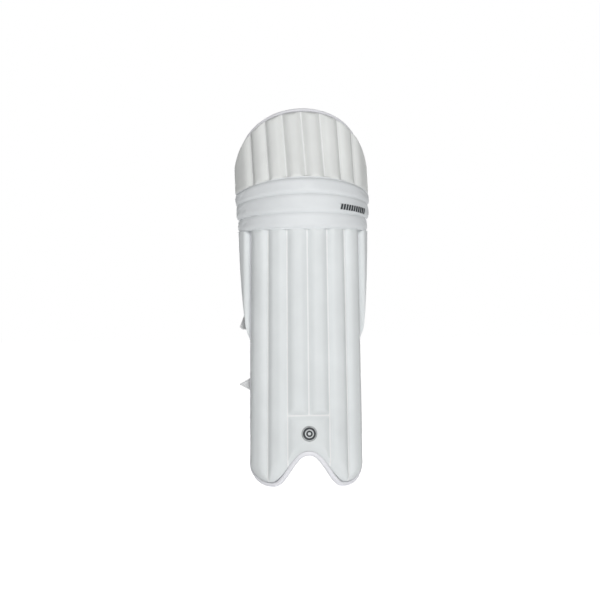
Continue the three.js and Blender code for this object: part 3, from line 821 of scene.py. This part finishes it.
def knee_gusset(seam):
    """The soft strip in a knee seam, with a thin welt along its middle. It lies between two sections."""
    below, above = KNEE_SEAMS[seam]
    half = np.array([0.12, 0.24, 0.36, 0.45, 0.56, 0.7, 0.85, 1.0])
    shares = np.concatenate([-half[::-1], [0.0], half])
    turn, share = net(np.linspace(-ROLL_EDGE_TURN, ROLL_EDGE_TURN, 220), shares)
    if below is SHIN:
        turn = turn * (1.0 + np.minimum(share, 0.0) * (1.0 - WING_EDGE_TURN / ROLL_EDGE_TURN))

    def across(out, level):
        plane = seam_plane(turn, level)
        climb = share * (plane + seam_lip(turn, level))
        from_below = place(below, turn, out, below.high + plane + climb)
        from_above = place(above, turn, out, -plane + climb)
        return np.where((share < 0)[..., None], from_below, from_above)

    gap = np.abs(share) * (seam_plane(turn, SEAM_LEVEL) + seam_lip(turn, SEAM_LEVEL))
    flank = np.where(share < 0, knee_out(below, seam, turn, gap), knee_out(above, seam, turn, gap))
    if below is SHIN:
        side_edge = shin_side_out(turn)
        flank = np.minimum(flank, side_edge + (ROLL_CREST - side_edge) * smooth((1.0 + share) / 0.6))
    round_top = np.sqrt(np.maximum(WELT_RADIUS**2 - gap**2, 0.0))
    crest = np.minimum(knee_crest(below, turn), knee_crest(above, turn))
    welt = np.where(gap < WELT_RADIUS, crest - WELT_SUNK - WELT_RADIUS + round_top, 0.0)
    front, back = across(np.maximum(flank, welt), SEAM_LEVEL), across(0.5 * (1.0 - np.abs(share)), 0.0)
    # the gusset's front takes the lighter roll leather, painted light
    piece = closed_sheet(f"knee_gusset_{seam + 1}", front, back, [ROLL_PU_PAINTED_LIGHTER, LINING])
    lean = (below.lean + above.lean) / 2
    reach = 1.6 * np.array([0.0, math.sin(lean), math.cos(lean)])  # square to the seam's own plane
    dress_between(piece, below.body, above.body, above.hinge * MM, reach * MM, "roll_leather")


# ---- Knee rolls ----
def roll_grid(section, rows, level=SEAM_LEVEL):
    turn, row = net(np.linspace(-ROLL_EDGE_TURN, ROLL_EDGE_TURN, 150), rows)
    lip = seam_lip(turn, level)
    return turn, lip + (section.high - 2 * lip) * row


def roll_out(section, seam, turn, height):
    """Height of a roll's facing, from its knee seams: one below it and one above."""
    plane = seam_plane(turn, SEAM_LEVEL)
    low = knee_out(section, seam, turn, height + plane)
    high = knee_out(section, seam + 1, turn, section.high + plane - height)
    return np.minimum(low, high)


def roll(name, section, seam):
    """A knee roll. Slanting gathers run up from the seams near its ends."""
    seed = 31.0 + seam
    turn, height = roll_grid(section, spread([0.0, 1.0], 22))
    s = arc(turn)
    slant = s + 1.3 * np.sign(s) * height
    gathers = 0.9 * ripple(slant, height, 13.0, 6.0, seed + 3.0) * smooth((np.abs(turn) - 46.0) / 16.0)
    lumps = 0.4 * ripple(s, height, 30.0, 14.0, seed)
    away = smooth(np.minimum(height, section.high - height) / 10.0)
    out = roll_out(section, seam, turn, height) + (lumps + gathers) * away
    front = skirted(section, turn, out, height, bottom=False, top=False)
    # the roll takes the lighter copy of the leather, painted light
    piece = shell(f"{name}_roll_facing", front, [ROLL_PU_PAINTED_LIGHTER])
    dress(piece, section.body, "roll_leather", f"{name}_roll_cover", f"{name}_roll_core")
    turn, height = roll_grid(section, np.linspace(0.0, 1.0, 8), level=0.0)
    backing = f"{name}_roll_backing"
    padding_cloth(f"{name}_roll_lining", section.body, section, turn, height, 0.0, backing)


# ---- Top hat ----
def dome_top(turn, grow=0.0):
    share = np.minimum(1.0, np.abs(turn) / (DOME["turn"] + grow / 2))
    return DOME["centre"] + (DOME["height"] + grow) * np.sqrt(1 - share**2)


def flute_turn(across, height):
    """Degrees round the leg of a place counted in flutes, which lean a little to the wearer's right."""
    upright = across * CAP_CHANNEL_TURN
    share = height / (DOME["centre"] + DOME["height"])
    return upright + (FLUTE_SHIFT - FLUTE_LEAN * share) * (1.0 - (upright / CAP_EDGE_TURN) ** 2)


def cap_grid(level):
    edge = CAP_EDGE_TURN / CAP_CHANNEL_TURN
    rows = joined(np.linspace(0, 0.12, 12), np.linspace(0.12, 0.8, 34), np.linspace(0.8, 1, 20))
    across, row = net(spread(np.array([-edge, -3, -2, -1, 0, 1, 2, 3, edge]), 18), rows)
    turn = flute_turn(across, dome_top(across * CAP_CHANNEL_TURN) * row)
    lip = seam_lip(turn, level)
    return turn, lip + (dome_top(turn) - lip) * row


def cap_outline():
    turn = np.linspace(-CAP_EDGE_TURN, CAP_EDGE_TURN, 1600)
    dome = np.stack([arc(turn), dome_top(turn)], -1)
    heights = np.arange(0.0, dome[0, 1], 0.5)
    sides = [np.stack([side * arc(CAP_EDGE_TURN + 0.0 * heights), heights], -1) for side in (-1, 1)]
    return np.concatenate([dome] + sides)


def cap_seam_gap(turn, height):
    """Distance to the nearest flute seam. The flutes fade out just above the knee seam."""
    fade = np.maximum(FLUTE_FROM - height, 0.0)
    gaps = [np.hypot(arc(turn - flute_turn(k, height)), fade) for k in range(-3, 4)]
    return np.minimum.reduce(gaps)


def top_hat():
    turn, height = cap_grid(SEAM_LEVEL)
    seam_gap = cap_seam_gap(turn, height)
    out = padded_out(CAP_CREST, CAP_VALLEY, seam_gap, turn, height, 23.0)
    rim = EDGE_OUT + (CAP_CREST - EDGE_OUT) * shoulder(distance_to(cap_outline(), turn, height), 11.0)
    knee_gap = height + seam_plane(turn, SEAM_LEVEL)
    out = np.minimum.reduce([out, rim, knee_out(CAP, 3, turn, knee_gap)])
    # the quads along the flute seams take the lighter seam leather, a painted highlight
    marked = skirt_pad(seam_gap < SEAM_STRIP, bottom=False)
    front = skirted(CAP, turn, out, height, bottom=False)
    # the top hat takes the lighter copy of the leather, painted light
    piece = shell("top_hat_facing", front, [TOP_PU_PAINTED_LIGHTER, SEAM_HIGHLIGHT_PU], marked)
    dress(piece, "top_hat", "cover_leather", "top_hat_cover", "top_hat_wadding")
    turn, height = cap_grid(0.0)
    dent = lining_dent(cap_seam_gap(turn, height))
    padding_cloth("top_hat_lining_cloth", "top_hat", CAP, turn, height, dent, "top_hat_lining")


def top_hat_stitches():
    for k in range(-3, 4):
        height = np.linspace(FLUTE_FROM + 1, dome_top(k * CAP_CHANNEL_TURN) - 7, 40)
        stitch_surface(CAP, flute_turn(k, height), CAP_VALLEY, height)
        stitch_surface(CAP, flute_turn(k, height), LINING_DRAW - 0.1, height, way=-1)


# ---- Bolsters: stuffed cushions on the leg side ----
def bolster(name, turn_mid, turn_half, low, high):
    """A flat-backed cushion, inflated a little as cloth, which rounds its cover."""
    across, row = net(np.linspace(-1, 1, 12), np.linspace(0, 1, 40))
    turn = turn_mid + across * (turn_half - 0.6)
    height = low + 1.0 + (high - low - 2.0) * row
    end_gap = np.minimum(height - low, high - height)
    side_gap = np.radians(turn_half - np.abs(turn - turn_mid)) * LINING_RADIUS
    deep = 5.0 + (BOLSTER_DEEP - 6.5) * np.minimum(shoulder(end_gap, 16.0), shoulder(side_gap, 12.0))
    front, back = place(SHIN, turn, -1.6, height), place(SHIN, turn, -deep, height)
    piece = closed_sheet(f"{name}_bolster_cushion", front, back, [BOLSTER])
    puff(piece, 1.6)
    dress(piece, "shin", "bolster_cloth", f"{name}_bolster")


def apply_modifier(piece, kind, **settings):
    modifier = piece.modifiers.new(kind.lower(), kind)
    for key, value in settings.items():
        setattr(modifier, key, value)
    bpy.ops.object.modifier_apply(modifier=modifier.name)


def inflate(piece):
    """Blows a closed piece up as cloth under pressure, without gravity."""
    soft = piece.modifiers.new("cloth", "CLOTH")
    soft.settings.use_pressure = True
    soft.settings.uniform_pressure_force = 4.0
    soft.settings.effector_weights.gravity = 0.0
    for step in range(1, 21):
        bpy.context.scene.frame_set(step)
    bpy.ops.object.modifier_apply(modifier=soft.name)
    bpy.context.scene.frame_set(1)


def puff(piece, most):
    """Rounds a closed piece by cloth simulation. No point moves further than most, in millimetres."""
    bpy.context.view_layer.objects.active = piece
    apply_modifier(piece, "REMESH", mode="VOXEL", voxel_size=0.004, use_smooth_shade=True)
    start = np.array([vertex.co[:] for vertex in piece.data.vertices])
    inflate(piece)
    moved = np.array([vertex.co[:] for vertex in piece.data.vertices]) - start
    length = np.linalg.norm(moved, axis=1, keepdims=True)
    moved *= np.minimum(1.0, most * MM / np.maximum(length, 1e-9))
    piece.data.vertices.foreach_set("co", (start + moved).ravel())
    apply_modifier(piece, "SUBSURF", levels=1)


# ---- Straps ----
class Strap:
    """A strap's plan line, from its hinge behind the right-hand edge, round the leg to its tip."""

    def __init__(self, name, height, back, tip, taper, end, slant):
        self.name = name
        self.height = height
        self.taper = taper  # it narrows over this length before its tip
        self.end = end  # half its width at the tip
        self.slant = slant  # how far the tip's upper corner is cut back
        self.link, self.tail = f"{name}_strap", f"{name}_strap_tail"
        turn = math.radians(float(outer_edge_turn(height + STRAP_HALF)) + 4.5)
        radius = LINING_RADIUS - 3.0
        x, y = radius * math.sin(turn), LINING_RADIUS - radius * math.cos(turn)
        bend = (0.83 * x, y + (back - y) * 0.66)
        stops = [(x, y), bend, (0, back), (-bend[0], bend[1]), (-x - 5, y + 7), (tip, y - 1)]
        self.points = smooth_line(np.array(stops, float))
        self.reach = distance_along(self.points)
        self.length = self.reach[-1]

    def at(self, distance, offset=0.0):
        """Plan points at distances along the strap. A positive offset is nearer the leg."""
        steps = (0.0, 0.5, -0.5)
        point, ahead, behind = (along_line(distance + step, self.reach, self.points) for step in steps)
        along = unit(ahead - behind)
        inward = np.stack([-along[..., 1], along[..., 0]], -1)
        return point + inward * offset


def smooth_line(stops):
    """A centripetal Catmull-Rom line through plan points, finely divided."""
    path = np.concatenate([[2 * stops[0] - stops[1]], stops, [2 * stops[-1] - stops[-2]]])
    share = np.linspace(0.0, 1.0, 60, endpoint=False)[:, None]
    parts = []
    for p0, p1, p2, p3 in zip(path, path[1:], path[2:], path[3:]):
        d0, d1, d2 = (math.sqrt(math.dist(a, b)) for a, b in ((p0, p1), (p1, p2), (p2, p3)))
        m1 = ((p1 - p0) / d0 - (p2 - p0) / (d0 + d1) + (p2 - p1) / d1) * d1
        m2 = ((p2 - p1) / d1 - (p3 - p1) / (d1 + d2) + (p3 - p2) / d2) * d1
        square_part = (3 * (p2 - p1) - 2 * m1 - m2) * share**2
        cube_part = (2 * (p1 - p2) + m1 + m2) * share**3
        parts.append(p1 + m1 * share + square_part + cube_part)
    return np.concatenate(parts + [stops[-1:]])


STRAPS = (
    Strap("knee", 430.0, back=134.0, tip=-114.0, taper=6.0, end=15.0, slant=8.0),
    Strap("calf", 307.0, back=126.0, tip=-117.3, taper=6.0, end=15.0, slant=14.0),
    Strap("ankle", 188.0, back=122.0, tip=-119.0, taper=35.0, end=1.0, slant=0.0),
)


def ribbon(name, plan, half, thick, mid_height, look, slant=0.0):
    """A flat band standing on edge along plan points, with rounded edges and a sewn hem along each."""
    upper = np.array([0.0, 0.3, 0.6, 0.72, 0.76, HEM, 0.84, 0.9, 0.95, 0.985, 1.0])
    level = np.concatenate([-upper[:0:-1], upper])
    along = unit(np.gradient(plan, axis=0))
    inward = np.stack([-along[:, 1], along[:, 0]], -1)
    half = np.broadcast_to(half, len(plan))
    to_tip = distance_along(plan)[-1] - distance_along(plan)
    back_off = slant * (level + 1) / 2 * smooth(1.0 - to_tip[:, None] / max(3 * slant, 1e-6))
    hem = 1.0 - 0.3 * np.exp(-(((np.abs(level) - HEM) / 0.035) ** 2))
    round_edge = (np.sqrt(1.0 - np.abs(level) ** 6) * 0.75 + 0.25) * hem
    faces = []
    for way in (-1, 1):
        flat = plan[:, None] + inward[:, None] * (way * thick / 2 * round_edge)[None, :, None]
        flat = flat - along[:, None] * back_off[..., None]
        faces.append(plan_to_world(flat, mid_height + half[:, None] * level))
    piece = closed_sheet(name, faces[0], faces[1], [look])
    face_out(piece)
    return piece


def plan_to_world(plan, height):
    """Metres from plan points and heights in the shin's millimetres."""
    height = np.broadcast_to(height, plan.shape[:-1])[..., None]
    return (np.concatenate([plan, height], -1) + SHIN.hinge - np.array([0.0, HINGE_DEPTH, 0.0])) * MM


def edge_tab_plan(side, strap):
    """Where a root or a loop tab leaves the shin's lining, behind the wing if there is one."""
    past = float(outer_edge_turn(strap.height + STRAP_HALF)) + 3.0
    angle = np.radians(side * np.linspace(float(edge_turn(strap.height)) - 12.0, past, 10))
    radius = LINING_RADIUS - 1.7
    return np.stack([radius * np.sin(angle), LINING_RADIUS - radius * np.cos(angle)], -1)


def strap_band(strap):
    """The strap itself, standing in for both of its links."""
    near_tip = strap.length - 40
    distance = joined(np.linspace(2.5, near_tip, 110), np.linspace(near_tip, strap.length, 30))
    remaining = np.minimum(1.0, (strap.length - distance) / strap.taper)
    half = strap.end + (STRAP_HALF - strap.end) * remaining
    plan, name = strap.at(distance), f"{strap.link}_webbing"
    piece = ribbon(name, plan, half, 2.6, strap.height, WEBBING, strap.slant)
    fold, reach = joint_place(f"{strap.link}_unfold"), np.array([-14.0, 0.0, 0.0]) * MM
    links = (f"{strap.link}_base", f"{strap.link}_end")
    dress_between(piece, strap.link, strap.tail, fold, reach, "strap_webbing", *links)


def strap_root(strap):
    """The sewn end, which runs from the shin onto the strap."""
    over = strap.at(np.linspace(3.0, 20.0, 8), -2.4)
    plan = np.concatenate([edge_tab_plan(1, strap), over])
    piece = ribbon(f"{strap.link}_anchor", plan, STRAP_HALF - 1.0, 1.4, strap.height, WEBBING)
    into = strap.at(np.array([0.0, 8.0]))
    reach = 0.4 * MM * np.append(into[1] - into[0], 0.0)
    start, root = joint_place(f"{strap.link}_swing"), f"{strap.link}_root"
    dress_between(piece, "shin", strap.link, start, reach, "strap_webbing", root)


def strap_fastening(strap):
    """The hook tape near the strap's tip, and the loop tab that it closes on."""
    first, last = strap.length / 2 + 16.0, strap.length - strap.taper - 4.0
    closed = np.linspace(first + (last - first) * 0.3, last, 40)
    plan = strap.at(closed, 2.4)
    piece = ribbon(f"{strap.link}_hooks", plan, STRAP_HALF - 2.0, 1.2, strap.height, HOOK)
    dress(piece, strap.tail, "hook_tape", f"{strap.link}_hook")
    plan = np.concatenate([edge_tab_plan(-1, strap), strap.at(closed[::-1], 4.6)])
    piece = ribbon(f"{strap.name}_loop_tab", plan, STRAP_HALF, 1.6, strap.height, LOOP)
    dress(piece, "shin", "strap_webbing", f"{strap.link}_tab")


def strap_stitches(strap):
    """Edge stitching along a strap, and a row of it across each end of the hook tape."""
    middle, last = strap.length / 2, strap.length - strap.taper
    for level in (-HEM * STRAP_HALF, HEM * STRAP_HALF):
        stitch_strap(strap.link, strap, np.linspace(24.0, middle - 15.0, 80), level)
        stitch_strap(strap.tail, strap, np.linspace(middle + 15.0, last - 8.0, 80), level)
    for distance in (middle + 20.0, last - 10.0):
        stitch_strap(strap.tail, strap, distance + np.zeros(20), np.linspace(-14.0, 14.0, 20))


def stitch_strap(body, strap, distance, level):
    points = plan_to_world(strap.at(distance, -1.1), strap.height + level)
    outward = plan_to_world(strap.at(distance, -2.35), strap.height + level) - points
    stitch(body, points, unit(outward), pitch=4.0, long=2.8, wide=0.8)


# ---- Badge and label ----
def instep_badge():
    """A thin disc on the instep panel. Each ring has its outer share of the radius and its look."""
    rings = ((0.2, 1), (0.44, 0), (0.56, 1), (0.86, 0), (0.93, 1), (1.0, 0))
    shares = np.array([0.02] + [share for share, _ in rings])
    lift = np.array([0.9] * len(rings) + [0.36] + [-0.8] * len(shares))[:, None]
    across = np.concatenate([shares, shares[::-1]])[:, None] * BADGE_RADIUS
    angle = np.linspace(0, 2 * math.pi, 48, endpoint=False)
    level = PANEL_CREST + 0.1
    turn = np.degrees(across * np.cos(angle) / (LINING_RADIUS + level))
    points = place(SHIN, turn, level + lift, BADGE_HEIGHT + across * np.sin(angle))
    faces = stack_faces(*turn.shape)
    marks = np.repeat([look for _, look in rings], len(angle)).tolist()
    marks += [0] * (len(faces) - len(marks))
    piece = new_piece("instep_badge_disc", points.reshape(-1, 3), faces, [DARK, LIGHT], marks)
    face_out(piece)
    dress(piece, "shin", "badge", "instep_badge")


def label_sheet(name, turn, height, low, high, look, *nodes):
    """A thin piece of the label, laid over the middle roll between two levels above its facing."""
    level = roll_out(MIDDLE, 1, turn, height)
    front, back = place(MIDDLE, turn, level + high, height), place(MIDDLE, turn, level + low, height)
    dress(closed_sheet(name, front, back, [look]), "middle_roll", "badge", *nodes)


def roll_label():
    """A plain woven label with a row of slanting dark bars."""
    middle = MIDDLE.high / 2 - LABEL_DROP
    turn, up = net(np.linspace(*LABEL_TURN, 40), np.linspace(-6.5, 6.5, 11))
    label_sheet("roll_label_patch", turn, up + middle, -0.6, 0.6, LIGHT, "roll_label")
    for k in range(LABEL_BARS):
        across, up = net(np.linspace(0.0, 1.9, 4), np.linspace(-5.4, 5.4, 9))
        turn = LABEL_TURN[0] + 1.2 + 2.72 * k + across + 0.12 * up
        label_sheet(f"roll_label_bar_{k + 1}", turn, up + middle, 0.4, 1.0, DARK)


# ---- Build ----
shin_facing()
shin_lining()
shin_stitches()
instep_binding()
side_bindings()
wing("left", -1)
wing("right", 1)
for seam, (name, section) in enumerate((("lower", LOWER), ("middle", MIDDLE), ("upper", UPPER))):
    roll(name, section, seam)
for seam in range(len(KNEE_SEAMS)):
    knee_gusset(seam)
top_hat()
top_hat_stitches()
top_hat_binding()
for row in BOLSTERS:
    bolster(*row)
for strap in STRAPS:
    strap_band(strap)
    strap_root(strap)
    strap_fastening(strap)
    strap_stitches(strap)
instep_badge()
roll_label()
build_stitches(THREAD)

for name, node in frame["nodes"].items():
    node.data.materials.clear()
    node.data.materials.append(CANE if "cane" in name else FOAM)


# ---- Studio ----
def area_light(name, location, aim, size, power):
    data = bpy.data.lights.new(name, "AREA")
    data.shape = "RECTANGLE"
    data.size, data.size_y = size
    data.energy = power
    light = bpy.data.objects.new(name, data)
    bpy.context.scene.collection.objects.link(light)
    light.location = location
    light.rotation_euler = (aim - location).to_track_quat("-Z", "Y").to_euler()


def studio_world():
    """White to the camera, and a weak even fill for everything else."""
    world = bpy.data.worlds.new("studio")
    world.use_nodes = True
    tree = world.node_tree
    fill = tree.nodes["Background"]
    seen = tree.nodes.new("ShaderNodeBackground")
    for background, strength in ((fill, 0.1), (seen, 1.0)):
        background.inputs["Color"].default_value = (*WHITE, 1.0)
        background.inputs["Strength"].default_value = strength
    rays = tree.nodes.new("ShaderNodeLightPath")
    mix = tree.nodes.new("ShaderNodeMixShader")
    tree.links.new(rays.outputs["Is Camera Ray"], mix.inputs[0])
    tree.links.new(fill.outputs[0], mix.inputs[1])
    tree.links.new(seen.outputs[0], mix.inputs[2])
    tree.links.new(mix.outputs[0], tree.nodes["World Output"].inputs["Surface"])
    bpy.context.scene.world = world


def studio_floor():
    """A pale floor that glows a little, more so to the camera, so that it has no horizon."""
    look = Look("studio_white")
    camera_ray = look.add("ShaderNodeLightPath").outputs["Is Camera Ray"]
    glow = look.math("MULTIPLY_ADD", camera_ray, 0.61, 0.34)
    grey, white = (0.8, 0.8, 0.8, 1.0), (*WHITE, 1.0)
    pale = look.finish(Base_Color=grey, Roughness=0.95, Emission_Color=white, Emission_Strength=glow)
    corners = [(x, y, 0.0) for x, y in ((-30, -30), (30, -30), (30, 30), (-30, 30))]
    new_piece("studio_floor", corners, [(0, 1, 2, 3)], [pale])


def studio():
    """The photograph's camera, level with the pad and a little to one side, and three soft lights."""
    turn, distance, frame_width = math.radians(-5.0), 8.0, 1.092
    right = Vector((math.cos(turn), math.sin(turn), 0.0))
    forward = Vector((-math.sin(turn), math.cos(turn), 0.0))
    target = right * -0.0127 + Vector((0.0, (SHIN.hinge[1] - HINGE_DEPTH) * MM, 0.341))
    data = bpy.data.cameras.new("camera")
    data.sensor_width, data.lens = 36.0, 36.0 * distance / frame_width
    camera = bpy.data.objects.new("camera", data)
    bpy.context.scene.collection.objects.link(camera)
    camera.location = target - forward * distance
    camera.rotation_euler = (math.pi / 2, 0.0, turn)
    camera.rotation_euler.rotate_axis("Z", math.radians(-0.6))
    bpy.context.scene.camera = camera

    up = Vector((0.0, 0.0, 1.0))
    area_light("key", target - forward * 6.0 + right + up * 2.2, target, (1.8, 1.8), 181.0)
    area_light("wide_fill", target - forward * 3.0 + up * 2.0, target, (3.0, 2.4), 25.0)
    area_light("back_fill", target + forward * 3.0 + up * 0.8, target, (2.5, 2.0), 60.0)
    bpy.context.scene.view_settings.view_transform = "Standard"


studio_floor()
studio()
studio_world()
